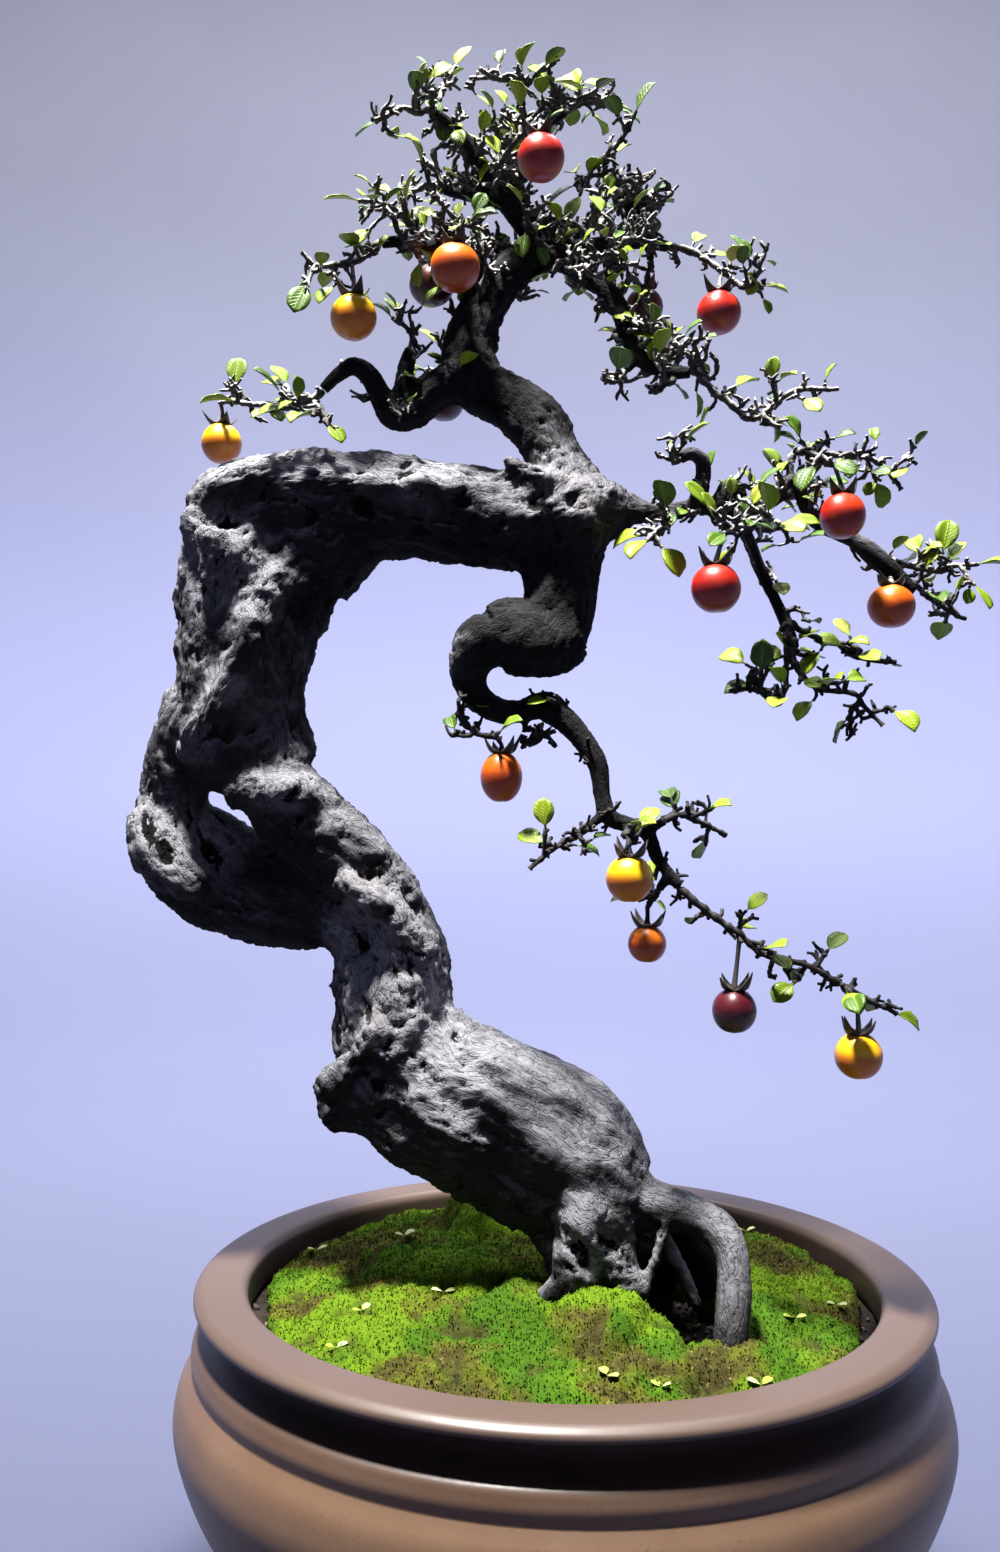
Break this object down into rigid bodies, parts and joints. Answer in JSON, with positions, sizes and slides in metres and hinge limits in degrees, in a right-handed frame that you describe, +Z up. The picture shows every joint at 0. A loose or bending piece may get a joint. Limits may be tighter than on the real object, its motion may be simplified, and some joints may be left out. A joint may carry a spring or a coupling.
{
  "type": "diospyros armata bonsai",
  "caption": "Small persimmon tree with a thick looping trunk, an arched root, a cascading limb, leafy sprays and hanging fruits, in moss in a round lipped clay pot.",
  "frame": {"origin": "centre of the pot's flat underside", "axes": "+Z up, along the pot axis; +X to the right and +Y away, seen from the side the tree is shown on"},
  "size_m": [0.4628, 0.4, 0.838],
  "materials": {
    "clay": "satin",
    "soil": "matte",
    "moss": "matte",
    "bark": "matte",
    "leafy_twigs": "matte",
    "fruit_red": "gloss",
    "fruit_maroon": "gloss",
    "fruit_orange": "gloss",
    "fruit_amber": "gloss"
  },
  "bodies": {
    "root": {"pot": "clay", "soil": "soil", "moss": "moss", "trunk": "bark", "spray_back_low": "leafy_twigs", "spray_cascade_fruit": "leafy_twigs", "spray_cascade_left": "leafy_twigs", "spray_cascade_low": "leafy_twigs", "spray_cascade_right": "leafy_twigs", "spray_cascade_tip": "leafy_twigs", "spray_centre_back": "leafy_twigs", "spray_crown_back": "leafy_twigs", "spray_crown_front": "leafy_twigs", "spray_crown_left": "leafy_twigs", "spray_crown_right": "leafy_twigs", "spray_crown_top": "leafy_twigs", "spray_down": "leafy_twigs", "spray_hook_side": "leafy_twigs", "spray_hook_twig": "leafy_twigs", "spray_left_back": "leafy_twigs", "spray_left_fruit": "leafy_twigs", "spray_left_high": "leafy_twigs", "spray_left_low": "leafy_twigs", "spray_left_mid": "leafy_twigs", "spray_left_mid_up": "leafy_twigs", "spray_mid_left": "leafy_twigs", "spray_mid_tip": "leafy_twigs", "spray_right_arch": "leafy_twigs", "spray_right_back": "leafy_twigs", "spray_right_centre": "leafy_twigs", "spray_right_high": "leafy_twigs", "spray_right_left": "leafy_twigs", "spray_right_up": "leafy_twigs", "spray_stub_tip": "leafy_twigs", "spray_top_fruit": "leafy_twigs", "spray_top_tip": "leafy_twigs", "spray_up_right": "leafy_twigs", "fruit_1": "fruit_red", "fruit_2": "fruit_orange", "fruit_3": "fruit_maroon", "fruit_4": "fruit_amber", "fruit_5": "fruit_amber", "fruit_6": "fruit_maroon", "fruit_7": "fruit_maroon", "fruit_8": "fruit_red", "fruit_9": "fruit_red", "fruit_10": "fruit_red", "fruit_11": "fruit_orange", "fruit_12": "fruit_orange", "fruit_13": "fruit_amber", "fruit_14": "fruit_orange", "fruit_15": "fruit_maroon", "fruit_16": "fruit_amber"}
  },
  "joints": []
}
